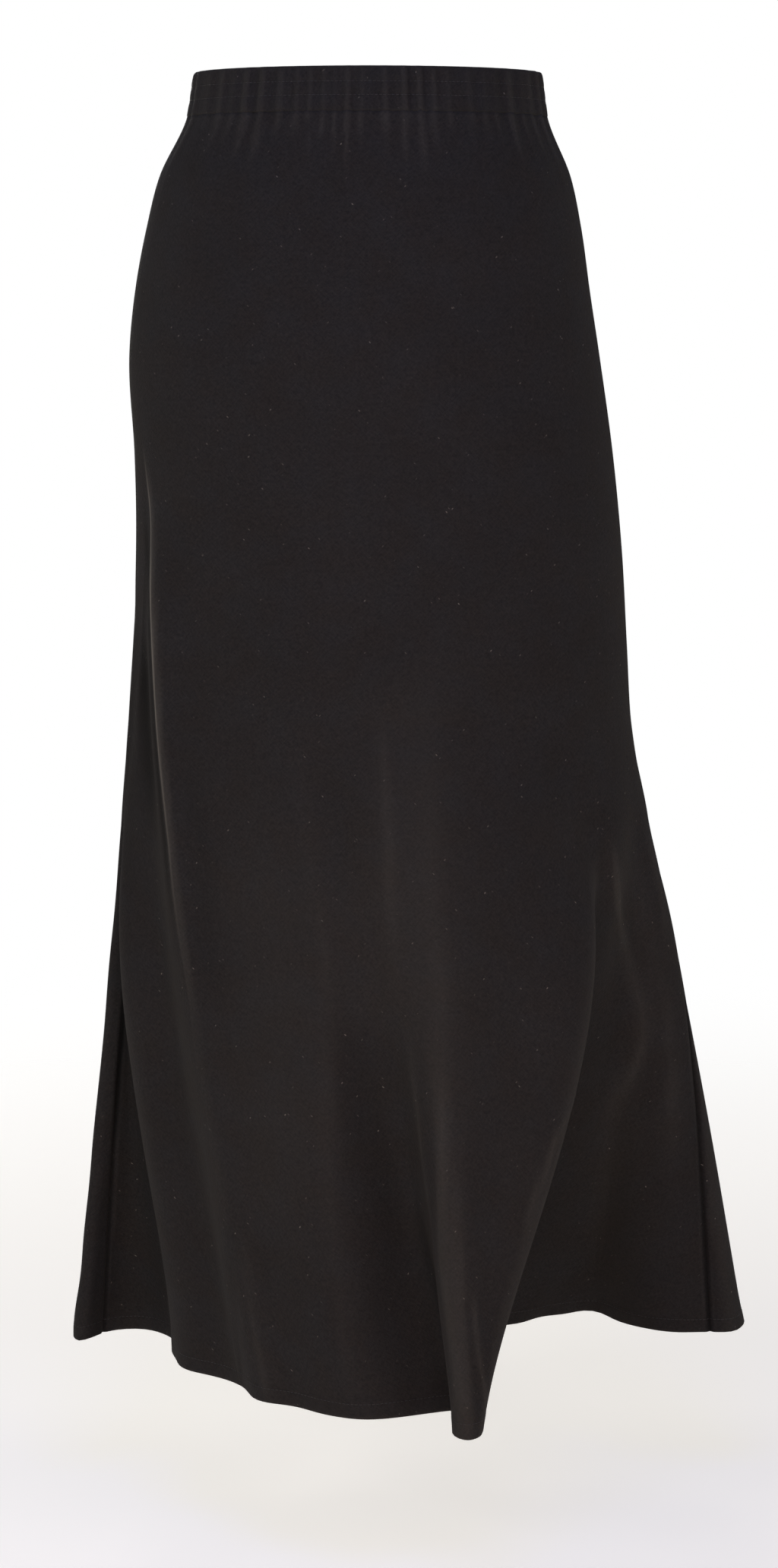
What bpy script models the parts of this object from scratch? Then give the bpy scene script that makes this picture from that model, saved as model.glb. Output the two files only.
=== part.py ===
"""A black linen maxi skirt, as worn: a bias-cut front and back joined at the sides, on an elastic waistband.

Metres, +Z up, and the front faces -Y. The origin is the middle of the waist at the waistband's top edge,
where the wearer holds the skirt up, so the whole skirt hangs below it.
"""

import math

import bpy
import numpy as np

# Driving sizes.
SKIRT_LENGTH = 1.022  # waistband's top edge to the hem, down a side seam
BAND_HEIGHT = 0.034
BAND_THICKNESS = 0.0026  # two layers of cloth round an elastic
CLOTH_THICKNESS = 0.0013
SEAM_GAP = 0.0003  # between pieces that are sewn to each other
GATHERS = 46  # soft waves that the elastic draws round the waistband
GATHER_HEIGHT = 0.0009

# Finish.
LINEN_COLOUR = (0.019, 0.018, 0.019)
LINEN_ROUGHNESS = 0.75
SHARP_ANGLE = 50.0  # degrees: edges bent more than this are drawn sharp

# How finely the cloth is cut into faces.
PANEL_ROWS = 29
COLUMN_PITCH = 0.0185  # along the hem
MIN_STEPS = 1  # between one fold line and the next
BAND_ROWS = 3
STEPS_PER_GATHER = 4

# The figure's outline in the cloth, from the waist down: an oval at each height. It is centred at centre_x,
# half_width wide to each side, and reaches front towards -Y and back towards +Y.
SECTIONS = [
    # height, centre_x, half_width, front, back
    (0.000, 0.0000, 0.1360, 0.094, 0.098),
    (-0.034, -0.0005, 0.1415, 0.098, 0.103),
    (-0.080, -0.0024, 0.1621, 0.106, 0.114),
    (-0.120, -0.0034, 0.1718, 0.110, 0.122),
    (-0.170, -0.0046, 0.1803, 0.113, 0.129),
    (-0.220, -0.0032, 0.1868, 0.116, 0.134),
    (-0.300, 0.0043, 0.1909, 0.120, 0.138),
    (-0.380, 0.0086, 0.1947, 0.127, 0.141),
    (-0.450, 0.0088, 0.1988, 0.135, 0.144),
    (-0.520, 0.0088, 0.2035, 0.143, 0.148),
    (-0.590, 0.0122, 0.2122, 0.152, 0.153),
    (-0.660, 0.0165, 0.2233, 0.162, 0.159),
    (-0.760, 0.0240, 0.2380, 0.178, 0.168),
    (-0.900, 0.0300, 0.2600, 0.200, 0.180),
]

# The lines that the folds run down, in order round the skirt from the left seam, past the front, to the right
# seam and past the back. A line leaves the oval of the figure at the height start, at an angle round it from the
# left side past the front, and runs straight to its place at the hem, but for bows and dips. bow_high and bow_low
# are how far it is off that straight line towards +X, a third and two thirds of the way down, and dip_high and
# dip_low how far towards +Y. lift is how much higher than the side seams its hem hangs.
FOLD_LINES = [
    # name, angle, start, hem_x, hem_y, bow_high, bow_low, dip_high, dip_low, lift
    ("left seam", 4, -0.40, -0.2190, -0.008, 0.006, 0.003, 0.000, 0.000, 0.000),
    ("left hollow", 9, -0.56, -0.1930, 0.003, 0.000, 0.000, -0.002, 0.004, 0.000),
    ("left hollow end", 12, -0.60, -0.1640, -0.020, -0.008, -0.002, -0.004, 0.002, 0.000),
    ("left ridge", 16, -0.60, -0.1520, -0.095, -0.015, -0.006, -0.005, -0.005, 0.000),
    ("left front", 18, -0.50, -0.1200, -0.129, -0.011, -0.007, 0.000, 0.000, 0.000),
    ("thigh hollow", 21, -0.42, -0.1020, -0.146, -0.016, -0.012, 0.005, 0.005, 0.000),
    ("thigh ridge", 26, -0.33, -0.0870, -0.183, -0.022, -0.016, 0.002, 0.002, 0.000),
    ("front left", 41, -0.40, -0.0560, -0.204, -0.024, -0.015, 0.010, 0.005, 0.000),
    ("front low", 66, -0.45, -0.0110, -0.233, 0.005, -0.003, 0.001, 0.000, 0.000),
    ("front right", 80, -0.55, 0.0380, -0.223, -0.012, -0.014, -0.003, 0.006, 0.000),
    ("cone hollow", 88, -0.50, 0.0715, -0.214, -0.014, -0.014, -0.010, 0.006, 0.000),
    ("cone left", 102, -0.50, 0.0640, -0.258, -0.009, -0.009, -0.009, -0.007, 0.000),
    ("cone tip", 112, -0.50, 0.0745, -0.283, -0.008, -0.009, -0.005, -0.004, 0.000),
    ("cone face", 124, -0.50, 0.0840, -0.277, 0.010, 0.004, 0.000, 0.000, 0.000),
    ("cone right", 136, -0.60, 0.0860, -0.265, 0.027, 0.012, -0.012, -0.006, 0.000),
    ("cone wall", 143, -0.58, 0.0840, -0.130, 0.016, 0.007, 0.000, 0.000, 0.000),
    ("recess corner", 147, -0.60, 0.1000, -0.005, 0.016, 0.006, -0.008, -0.008, 0.000),
    ("recess floor", 151, -0.60, 0.1480, 0.038, 0.008, 0.006, -0.013, -0.013, 0.000),
    ("recess back", 156, -0.58, 0.1850, 0.053, 0.006, 0.004, -0.016, -0.016, 0.000),
    ("recess end", 162, -0.56, 0.2200, 0.012, 0.008, 0.004, -0.006, -0.006, 0.000),
    ("right front", 169, -0.58, 0.2550, -0.006, 0.014, 0.008, -0.003, -0.003, 0.000),
    ("right seam", 176, -0.61, 0.2820, -0.006, 0.013, 0.009, 0.000, 0.000, 0.000),
    ("right flare front", 179, -0.61, 0.3020, -0.003, 0.006, 0.005, 0.000, 0.000, 0.000),
    ("right flare", 184, -0.56, 0.3110, 0.030, 0.003, 0.001, 0.000, 0.000, 0.000),
    ("right hollow", 200, -0.45, 0.2740, 0.085, 0.000, 0.000, 0.000, 0.000, 0.000),
    ("right back ridge", 218, -0.40, 0.2600, 0.150, 0.000, 0.000, 0.000, 0.000, 0.000),
    ("right back hollow", 235, -0.40, 0.1880, 0.152, 0.000, 0.000, 0.000, 0.000, 0.000),
    ("back right ridge", 252, -0.36, 0.1330, 0.214, 0.000, 0.000, 0.000, 0.000, 0.000),
    ("back hollow", 268, -0.40, 0.0560, 0.176, 0.000, 0.000, 0.000, 0.000, 0.000),
    ("back left ridge", 285, -0.36, -0.0280, 0.220, 0.000, 0.000, 0.000, 0.000, 0.000),
    ("left back hollow", 303, -0.42, -0.1040, 0.166, 0.000, 0.000, 0.000, 0.000, 0.000),
    ("left back ridge", 320, -0.38, -0.1800, 0.168, 0.000, 0.000, 0.000, 0.000, 0.000),
    ("left hollow behind", 336, -0.45, -0.1960, 0.085, 0.000, 0.000, 0.000, 0.000, 0.000),
    ("left flare", 351, -0.45, -0.2435, -0.008, 0.003, 0.003, 0.000, 0.000, -0.002),
    ("left flare front", 357, -0.60, -0.2370, -0.024, 0.000, 0.000, 0.000, 0.000, -0.002),
]
NAME, ANGLE, START, HEM_X, HEM_Y, BOW_HIGH, BOW_LOW, DIP_HIGH, DIP_LOW, LIFT = range(10)
EASE = 0.16  # height over which a line leaves the oval
RIGHT_SEAM = [line[NAME] for line in FOLD_LINES].index("right seam")


def smooth_step(share):
    """0 to 1 with flat ends."""
    share = np.clip(share, 0.0, 1.0)
    return share * share * (3.0 - 2.0 * share)


def smooth_table(heights, rows):
    """Rows of values at falling heights, read at other heights through a curve with no kinks."""
    table = np.array(rows, float)
    at = table[:, 0]
    slopes = np.gradient(table[:, 1:], at, axis=0)
    heights = np.clip(heights, at[-1], at[0])
    k = np.clip(np.searchsorted(-at, -heights, side="right") - 1, 0, len(at) - 2)
    span = (at[k + 1] - at[k])[..., None]
    t = ((heights - at[k])[..., None]) / span
    low, high = table[k, 1:], table[k + 1, 1:]
    return (
        (2 * t**3 - 3 * t**2 + 1) * low
        + (t**3 - 2 * t**2 + t) * span * slopes[k]
        + (3 * t**2 - 2 * t**3) * high
        + (t**3 - t**2) * span * slopes[k + 1]
    )


def on_oval(angle, height):
    """The point of the figure's oval at a height, angle degrees round from the left side past the front."""
    centre_x, half_width, front, back = np.moveaxis(smooth_table(height, SECTIONS), -1, 0)
    turn = np.radians(angle)
    depth = np.where(np.sin(turn) >= 0, front, back)
    return np.stack([centre_x - half_width * np.cos(turn), -depth * np.sin(turn)], axis=-1)


def fold_line(line, share_down, top):
    """Points down one fold line, at shares of the way from the height top to the hem."""
    hem_z = -SKIRT_LENGTH + line[LIFT]
    z = top + (hem_z - top) * share_down
    start, hem = on_oval(line[ANGLE], np.array(line[START])), np.array([line[HEM_X], line[HEM_Y]])
    along = np.clip((line[START] - z) / (line[START] - hem_z), 0.0, 1.0)[:, None]
    third, two_thirds = 1 / 3, 2 / 3
    # Cubics that are 0 at both ends, and 1 at one third and 0 at the other, or the other way round.
    ends = along * (along - 1) / (third * two_thirds * third)
    high, low = ends * (along - two_thirds), -ends * (along - third)
    bow = line[BOW_HIGH] * high + line[BOW_LOW] * low
    dip = line[DIP_HIGH] * high + line[DIP_LOW] * low
    straight = start + (hem - start) * along + np.column_stack([bow, dip])
    leaves = smooth_step((line[START] + EASE / 2 - z) / EASE)[:, None]
    flat = on_oval(line[ANGLE], z) * (1 - leaves) + straight * leaves
    return np.column_stack([flat, z])


def round_curve(points, steps):
    """A closed curve through the points with no kinks: a periodic cubic, its knots spaced by the square root of
    the distance between points. steps[k] is how many even steps it takes from point k to the next."""
    count = len(points)
    after = np.roll(points, -1, axis=0) - points
    gap = np.sqrt(np.linalg.norm(after, axis=1))[:, None]
    before = np.roll(gap, 1, axis=0)
    matrix = np.diag((2 / before + 2 / gap)[:, 0])
    for k in range(count):
        matrix[k, (k + 1) % count] += 1 / gap[k, 0]
        matrix[k, (k - 1) % count] += 1 / before[k, 0]
    pull = 3 * (np.roll(after, 1, axis=0) / before**2 + after / gap**2)
    slope = np.linalg.solve(matrix, pull)
    made = []
    for k in range(count):
        t = (np.arange(steps[k]) / steps[k])[:, None]
        end = (k + 1) % count
        made.append(
            (2 * t**3 - 3 * t**2 + 1) * points[k]
            + (t**3 - 2 * t**2 + t) * gap[k] * slope[k]
            + (3 * t**2 - 2 * t**3) * points[end]
            + (t**3 - t**2) * gap[k] * slope[end]
        )
    return np.concatenate(made)


def skirt_cloth(top, rows):
    """The middle of the cloth below the waistband, rows x columns x 3 all round the skirt, from the left seam.
    Also the right seam's column."""
    share_down = np.linspace(0.0, 1.0, rows)
    lines = np.stack([fold_line(line, share_down, top) for line in FOLD_LINES], axis=1)
    hem_steps = np.linalg.norm(np.roll(lines[-1], -1, axis=0) - lines[-1], axis=1) / COLUMN_PITCH
    steps = np.maximum(np.round(hem_steps).astype(int), MIN_STEPS)
    cloth = np.stack([round_curve(ring, steps) for ring in lines])
    return cloth, int(steps[:RIGHT_SEAM].sum())


def outward(cloth):
    """The unit normals of a tube of cloth, rows x columns x 3, pointing out of the skirt."""
    along = np.roll(cloth, -1, axis=1) - np.roll(cloth, 1, axis=1)
    down = np.gradient(cloth, axis=0)
    normal = np.cross(down, along)
    return normal / np.linalg.norm(normal, axis=-1, keepdims=True)


def pulled_back(edge, inner, gap):
    """Points of an edge moved by gap towards their neighbours inside the panel."""
    step = inner - edge
    return edge + step / np.linalg.norm(step, axis=-1, keepdims=True) * gap


def add_wall(name, middle, normal, thickness, joined=False):
    """A closed solid of a sheet of cloth: its middle, rows x columns x 3, thickened half to each side along
    normal. joined says that the last column meets the first, as round a waistband."""
    rows, columns = middle.shape[:2]
    outside = middle + normal * thickness / 2
    inside = middle - normal * thickness / 2
    points = np.concatenate([outside.reshape(-1, 3), inside.reshape(-1, 3)])
    index = np.arange(rows * columns).reshape(rows, columns)
    if joined:
        index = np.column_stack([index, index[:, 0]])
    under = index + rows * columns
    faces = [
        np.stack([index[:-1, :-1], index[1:, :-1], index[1:, 1:], index[:-1, 1:]], axis=-1),
        np.stack([under[:-1, :-1], under[:-1, 1:], under[1:, 1:], under[1:, :-1]], axis=-1),
        np.stack([index[0, :-1], index[0, 1:], under[0, 1:], under[0, :-1]], axis=-1),
        np.stack([index[-1, 1:], index[-1, :-1], under[-1, :-1], under[-1, 1:]], axis=-1),
    ]
    if not joined:
        faces.append(np.stack([index[1:, 0], index[:-1, 0], under[:-1, 0], under[1:, 0]], axis=-1))
        faces.append(np.stack([index[:-1, -1], index[1:, -1], under[1:, -1], under[:-1, -1]], axis=-1))
    quads = np.concatenate([face.reshape(-1, 4) for face in faces])
    mesh = bpy.data.meshes.new(name)
    mesh.from_pydata(points.tolist(), [], quads.tolist())
    mesh.validate()
    mesh.shade_smooth()
    mesh.set_sharp_from_angle(angle=math.radians(SHARP_ANGLE))
    mesh.materials.append(linen(name + "_linen"))
    COLLECTION.objects.link(bpy.data.objects.new(name, mesh))


def linen(name):
    """A matt black cloth finish."""
    material = bpy.data.materials.new(name)
    material.use_nodes = True
    shader = material.node_tree.nodes["Principled BSDF"]
    shader.inputs["Base Color"].default_value = (*LINEN_COLOUR, 1.0)
    shader.inputs["Roughness"].default_value = LINEN_ROUGHNESS
    shader.inputs["Metallic"].default_value = 0.0
    return material


def add_panels():
    """The front and back panels, cut apart at the two side seams."""
    cloth, right = skirt_cloth(-BAND_HEIGHT - SEAM_GAP, PANEL_ROWS)
    normal = outward(cloth)
    columns = cloth.shape[1]
    for name, first, last in (("front_panel", 0, right), ("back_panel", right, columns)):
        taken = np.arange(first, last + 1) % columns
        middle, facing = cloth[:, taken].copy(), normal[:, taken]
        middle[:, 0] = pulled_back(middle[:, 0], middle[:, 1], SEAM_GAP / 2)
        middle[:, -1] = pulled_back(middle[:, -1], middle[:, -2], SEAM_GAP / 2)
        add_wall(name, middle, facing, CLOTH_THICKNESS)


def add_waistband():
    """A band round the waist, drawn into soft upright waves by its elastic."""
    steps = GATHERS * STEPS_PER_GATHER
    angle = np.arange(steps) / steps * 360.0
    height = np.linspace(0.0, -BAND_HEIGHT, BAND_ROWS)
    flat = on_oval(angle[None, :], height[:, None] + 0 * angle[None, :])
    middle = np.concatenate([flat, np.broadcast_to(height[:, None, None], (BAND_ROWS, steps, 1))], axis=-1)
    normal = outward(middle)
    wave = GATHER_HEIGHT / 2 * np.sin(np.radians(angle * GATHERS))
    add_wall("waistband", middle + normal * wave[None, :, None], normal, BAND_THICKNESS, joined=True)


for old in list(bpy.data.objects):
    bpy.data.objects.remove(old, do_unlink=True)
COLLECTION = bpy.data.collections.new("linen_maxi_skirt")
bpy.context.scene.collection.children.link(COLLECTION)
add_panels()
add_waistband()
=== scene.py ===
"""A black linen maxi skirt, dressed for its portrait.

Thin bias-cut panels with soft folds, pressed seams, turned hem, stitching and a gathered waistband replace
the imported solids, which carry the same folds. A pale floor, soft lights and a camera stand round them. All is
in metres, +Z up, the skirt's front faces -Y, and the origin is the middle of the waist.
"""

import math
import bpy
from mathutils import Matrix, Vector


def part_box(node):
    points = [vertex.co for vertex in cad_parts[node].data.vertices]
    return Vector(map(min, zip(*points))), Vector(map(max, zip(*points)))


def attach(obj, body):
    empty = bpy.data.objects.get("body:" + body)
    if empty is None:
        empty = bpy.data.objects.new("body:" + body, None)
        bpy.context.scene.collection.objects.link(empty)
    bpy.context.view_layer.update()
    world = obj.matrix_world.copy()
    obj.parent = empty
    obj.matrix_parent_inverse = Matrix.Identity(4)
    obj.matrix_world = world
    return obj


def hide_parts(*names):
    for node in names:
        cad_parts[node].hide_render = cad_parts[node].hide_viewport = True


bl_info = {
    "name": "Linen maxi skirt",
    "version": (1, 0, 0),
    "blender": (4, 5, 0),
    "location": "3D Viewport > Sidebar > Skirt",
    "description": "Panels, hem, seams, stitching and waistband of a bias-cut linen skirt, and its studio",
    "category": "Object",
}

from functools import partial
from types import SimpleNamespace

import bpy
import numpy as np
from bpy.props import FloatProperty, IntProperty, PointerProperty, StringProperty
from bpy.types import Operator, Panel, PropertyGroup
from mathutils import Vector

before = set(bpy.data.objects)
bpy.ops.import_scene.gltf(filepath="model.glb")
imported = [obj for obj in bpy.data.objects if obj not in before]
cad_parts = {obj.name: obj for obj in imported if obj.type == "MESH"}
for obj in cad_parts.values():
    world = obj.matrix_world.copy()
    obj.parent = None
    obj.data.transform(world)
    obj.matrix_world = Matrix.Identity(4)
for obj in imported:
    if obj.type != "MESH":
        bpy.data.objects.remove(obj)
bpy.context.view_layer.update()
BAND_BOTTOM = float(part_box("waistband")[0][2])
SKIRT_LENGTH = 1.022  # straight down from the waistband's top edge to the hem at a side seam
SEAM_GAP = 0.0003  # between the band and the panels
PANEL_TOP = BAND_BOTTOM - SEAM_GAP
TUCK = 0.0015  # how far the panels reach up into the band's seam
MM = 0.001

# --- The folds, as the solids have them ---

# The figure's outline in the cloth, from the waist down: an oval at each height. It is centred at centre_x,
# half_width wide to each side, and reaches front towards -Y and back towards +Y.
SECTIONS = [
    # height, centre_x, half_width, front, back
    (0.000, 0.0000, 0.1360, 0.094, 0.098),
    (-0.034, -0.0005, 0.1415, 0.098, 0.103),
    (-0.080, -0.0024, 0.1621, 0.106, 0.114),
    (-0.120, -0.0034, 0.1718, 0.110, 0.122),
    (-0.170, -0.0046, 0.1803, 0.113, 0.129),
    (-0.220, -0.0032, 0.1868, 0.116, 0.134),
    (-0.300, 0.0043, 0.1909, 0.120, 0.138),
    (-0.380, 0.0086, 0.1947, 0.127, 0.141),
    (-0.450, 0.0088, 0.1988, 0.135, 0.144),
    (-0.520, 0.0088, 0.2035, 0.143, 0.148),
    (-0.590, 0.0122, 0.2122, 0.152, 0.153),
    (-0.660, 0.0165, 0.2233, 0.162, 0.159),
    (-0.760, 0.0240, 0.2380, 0.178, 0.168),
    (-0.900, 0.0300, 0.2600, 0.200, 0.180),
]

# The lines that the folds run down, in order round the skirt from the left seam, past the front, to the right
# seam and past the back. A line leaves the oval of the figure at the height start, at an angle round it from
# the left side past the front, and runs straight to its place at the hem, but for bows and dips. bow_high and
# bow_low are how far it is off that straight line towards +X, a third and two thirds of the way down, and
# dip_high and dip_low how far towards +Y. lift is how much higher than the side seams its hem hangs.
STRAIGHT = (0.0, 0.0, 0.0, 0.0, 0.0)  # no bow, dip or lift
FOLD_LINES = [
    # name, angle, start, hem_x, hem_y, bow_high, bow_low, dip_high, dip_low, lift
    ("left seam", 4, -0.40, -0.2190, -0.008, 0.006, 0.003, 0.000, 0.000, 0.000),
    ("left hollow", 9, -0.56, -0.1930, 0.003, 0.000, 0.000, -0.002, 0.004, 0.000),
    ("left hollow end", 12, -0.60, -0.1640, -0.020, -0.008, -0.002, -0.004, 0.002, 0.000),
    ("left ridge", 16, -0.60, -0.1520, -0.095, -0.015, -0.006, -0.005, -0.005, 0.000),
    ("left front", 18, -0.50, -0.1200, -0.129, -0.011, -0.007, 0.000, 0.000, 0.000),
    ("thigh hollow", 21, -0.42, -0.1020, -0.146, -0.016, -0.012, 0.005, 0.005, 0.000),
    ("thigh ridge", 26, -0.33, -0.0870, -0.183, -0.022, -0.016, 0.002, 0.002, 0.000),
    ("front left", 41, -0.40, -0.0560, -0.204, -0.024, -0.015, 0.010, 0.005, 0.000),
    ("front low", 66, -0.45, -0.0110, -0.233, 0.005, -0.003, 0.001, 0.000, 0.000),
    ("front right", 80, -0.55, 0.0380, -0.223, -0.012, -0.014, -0.003, 0.006, 0.000),
    ("cone hollow", 88, -0.50, 0.0715, -0.214, -0.014, -0.014, -0.010, 0.006, 0.000),
    ("cone left", 102, -0.50, 0.0640, -0.258, -0.009, -0.009, -0.009, -0.007, 0.000),
    ("cone tip", 112, -0.50, 0.0745, -0.283, -0.008, -0.009, -0.005, -0.004, 0.000),
    ("cone face", 124, -0.50, 0.0840, -0.277, 0.010, 0.004, 0.000, 0.000, 0.000),
    ("cone right", 136, -0.60, 0.0860, -0.265, 0.027, 0.012, -0.012, -0.006, 0.000),
    ("cone wall", 143, -0.58, 0.0840, -0.130, 0.016, 0.007, 0.000, 0.000, 0.000),
    ("recess corner", 147, -0.60, 0.1000, -0.005, 0.016, 0.006, -0.008, -0.008, 0.000),
    ("recess floor", 151, -0.60, 0.1480, 0.038, 0.008, 0.006, -0.013, -0.013, 0.000),
    ("recess back", 156, -0.58, 0.1850, 0.053, 0.006, 0.004, -0.016, -0.016, 0.000),
    ("recess end", 162, -0.56, 0.2200, 0.012, 0.008, 0.004, -0.006, -0.006, 0.000),
    ("right front", 169, -0.58, 0.2550, -0.006, 0.014, 0.008, -0.003, -0.003, 0.000),
    ("right seam", 176, -0.61, 0.2820, -0.006, 0.013, 0.009, 0.000, 0.000, 0.000),
    ("right flare front", 179, -0.61, 0.3020, -0.003, 0.006, 0.005, 0.000, 0.000, 0.000),
    ("right flare", 184, -0.56, 0.3110, 0.030, 0.003, 0.001, 0.000, 0.000, 0.000),
    ("right hollow", 200, -0.45, 0.2740, 0.085, *STRAIGHT),
    ("right back ridge", 218, -0.40, 0.2600, 0.150, *STRAIGHT),
    ("right back hollow", 235, -0.40, 0.1880, 0.152, *STRAIGHT),
    ("back right ridge", 252, -0.36, 0.1330, 0.214, *STRAIGHT),
    ("back hollow", 268, -0.40, 0.0560, 0.176, *STRAIGHT),
    ("back left ridge", 285, -0.36, -0.0280, 0.220, *STRAIGHT),
    ("left back hollow", 303, -0.42, -0.1040, 0.166, *STRAIGHT),
    ("left back ridge", 320, -0.38, -0.1800, 0.168, *STRAIGHT),
    ("left hollow behind", 336, -0.45, -0.1960, 0.085, *STRAIGHT),
    ("left flare", 351, -0.45, -0.2435, -0.008, 0.003, 0.003, 0.000, 0.000, -0.002),
    ("left flare front", 357, -0.60, -0.2370, -0.024, 0.000, 0.000, 0.000, 0.000, -0.002),
]
NAME, ANGLE, START, HEM_X, HEM_Y, BOW_HIGH, BOW_LOW, DIP_HIGH, DIP_LOW, LIFT = range(10)
EASE = 0.16  # height over which a line leaves the oval
LEFT_SEAM = 0  # places in that list
RIGHT_SEAM = [line[NAME] for line in FOLD_LINES].index("right seam")
ALL_ROUND = len(FOLD_LINES)

# Soft creases on top of those folds: ridges, or hollows where height is below 0. A crease runs through places
# on a panel, from the top down, each given as a share of the panel's width from its left-hand edge, seen from
# outside, and the depth below the waist. It grows and dies away over the lengths starts_over and ends_over.
# The third number is a painted highlight that pales the crease, or below 0 painted shade that darkens it; rows
# with no height are painted shade alone.
FRONT_CREASES = [
    # width_mm, height_mm, painted highlight above 0 and shade below 0, starts_over, ends_over, places
    (1.1, 0.25, 5.40, 0.12, 0.42, ((0.06, 0.28), (0.134, 0.45), (0.166, 0.53), (0.2, 0.64), (0.216, 0.72))),
    (4, 0.5, 0.45, 0.07, 0.36, ((0.065, 0.28), (0.139, 0.45), (0.170, 0.53), (0.203, 0.64), (0.237, 0.78))),
    (6, -0.4, -0.90, 0.07, 0.12, ((0.050, 0.33), (0.123, 0.45), (0.156, 0.53), (0.190, 0.64), (0.210, 0.70))),
    (24, 0, -0.34, 0.08, 0.14, ((0.055, 0.42), (0.055, 0.78))),
    (10, 0, -0.60, 0.08, 0.20, ((0.000, 0.42), (0.000, 0.90))),
    (12, -2, -0.70, 0.06, 0.08, ((0.068, 0.42), (0.090, 0.48), (0.116, 0.54), (0.140, 0.62))),
    (12, -1.5, -0.14, 0.08, 0.08, ((0.200, 0.50), (0.237, 0.62), (0.241, 0.68), (0.256, 0.75))),
    (60, 1, 0.09, 0.12, 0.12, ((0.350, 0.53), (0.350, 0.68), (0.300, 0.92))),
    (9, 0.6, 0.05, 0.06, 0.06, ((0.385, 0.50), (0.399, 0.60), (0.404, 0.66), (0.394, 0.73))),
    (18, -1.4, -0.20, 0.08, 0.12, ((0.430, 0.71), (0.420, 0.79), (0.424, 0.86), (0.434, 0.98))),
    (13, -0.6, -0.25, 0.08, 0.03, ((0.440, 0.84), (0.455, 0.92), (0.475, 1.04))),
    (36, 2, 0.14, 0.12, 0.12, ((0.554, 0.43), (0.545, 0.58), (0.524, 0.67), (0.508, 0.75), (0.512, 0.84))),
    (5, 0.5, 0.12, 0.03, 0.12, ((0.512, 0.49), (0.506, 0.61), (0.489, 0.67), (0.474, 0.73))),
    (9, 0.6, 0.07, 0.08, 0.06, ((0.581, 0.49), (0.561, 0.61), (0.542, 0.67), (0.527, 0.74))),
    (6, 0.6, 0.12, 0.08, 0.03, ((0.523, 0.74), (0.516, 0.83), (0.510, 0.89), (0.509, 0.94), (0.503, 1.02))),
    (5, 0.8, 0.16, 0.05, 0.06, ((0.486, 0.72), (0.482, 0.79), (0.487, 0.86), (0.500, 0.91))),
    (4, 0.5, 0.10, 0.04, 0.02, ((0.540, 0.90), (0.532, 0.95), (0.524, 1.02))),
    (4, 0.4, 0.16, 0.05, 0.06, ((0.790, 0.70), (0.750, 0.76), (0.670, 0.79), (0.618, 0.84), (0.585, 0.90))),
    (8, 1.8, 0.20, 0.06, 0.05, ((0.854, 0.58), (0.868, 0.64), (0.913, 0.70), (0.937, 0.76), (0.896, 0.85))),
    (12, 0.8, 0.12, 0.06, 0.06, ((0.930, 0.60), (0.950, 0.70), (0.970, 0.82), (0.966, 0.90))),
    (26, 1, 0.14, 0.08, 0.06, ((0.915, 0.78), (0.917, 0.90), (0.913, 1.05))),
    (8, 1.2, 0.06, 0.05, 0.02, ((0.266, 0.87), (0.266, 0.94), (0.267, 1.03))),
    (7, -1.3, -0.05, 0.05, 0.02, ((0.246, 0.88), (0.242, 0.94), (0.218, 1.03))),
    (9, 0.5, -0.07, 0.05, 0.02, ((0.348, 0.91), (0.347, 0.98), (0.341, 1.03))),
]
BACK_CREASES = [
    # width_mm, height_mm, painted highlight above 0 and shade below 0, starts_over, ends_over, places
    (16, 1.2, 0.04, 0.10, 0.10, ((0.200, 0.34), (0.190, 0.52), (0.160, 0.70))),
    (4, 0.8, 0.30, 0.06, 0.20, ((0.090, 0.36), (0.126, 0.56), (0.150, 0.74))),
    (13, 1, 0.04, 0.10, 0.10, ((0.360, 0.42), (0.330, 0.80))),
    (15, 1.2, 0.06, 0.10, 0.10, ((0.560, 0.38), (0.580, 0.56), (0.580, 0.74))),
    (12, -1, 0.00, 0.10, 0.10, ((0.680, 0.46), (0.720, 0.84))),
    (14, 1.3, 0.05, 0.10, 0.12, ((0.860, 0.36), (0.870, 0.57), (0.900, 0.78))),
    (9, 1.2, 0.03, 0.08, 0.03, ((0.440, 0.78), (0.450, 1.03))),
    (26, 0, -0.22, 0.12, 0.05, ((0.985, 0.48), (0.985, 1.10))),
]
CREASES = {"front": FRONT_CREASES, "back": BACK_CREASES}

# Slow waves in the hanging cloth and the elastic's ripples, as wavelengths or as counts round the waist.
DRAPE_WAVES_MM = (150, 104, 83, 61, 47)
DRAPE_SEEDS = {"front": 5, "back": 8}
DRAPE_LEAN = 0.12  # how far a wave may lean sideways, for each metre down
DRAPE_SWAY, DRAPE_SWAY_PACE = 2.0, 3.1  # how far it sways, as a phase, and how fast, per metre down
DRAPE_HIGH = 0.08  # share of the waves' height over the hips
DRAPE_FROM, DRAPE_OVER = 0.35, 0.45  # how far down they start to grow, and over what length
GATHER_COUNTS = (41, 47, 53, 58, 67)
GATHER_SEED = 11
GATHER_REACH = 0.024  # how far down the panels the ripples die away
SEAM_CALM = 0.030  # beside a seam, where the pressed allowances hold the cloth flat
SEAM_DEPTH = 0.0022  # of the groove at a side seam
SEAM_HALF_WIDTH = 0.0020
SEAM_PAINTED_SHADE = -0.6  # painted shade in a seam's groove: how far it darkens the colour
SEAM_PAINTED_SHADE_HIGH = 0.3  # share of it over the hips
SEAM_PAINTED_SHADE_WIDTH = 0.0034
HEM_RIPPLE = 0.052  # from one of the hem's ripples to the next
HEM_RIPPLE_SWAY, HEM_RIPPLE_SWAY_PACE = 1.7, 9.0  # how far that varies, as a phase, and how fast, per metre
HEM_RIPPLE_REACH = 0.030
HEM_RIPPLE_HEIGHT = 0.0010
HEM_STITCH_IN = 0.0015  # from the turned hem's inner edge to its stitching
STITCH_SINK = 0.00025  # how deep the hem's stitching pulls the cloth in
STITCH_ROW = 0.0011  # and how far to each side
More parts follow.
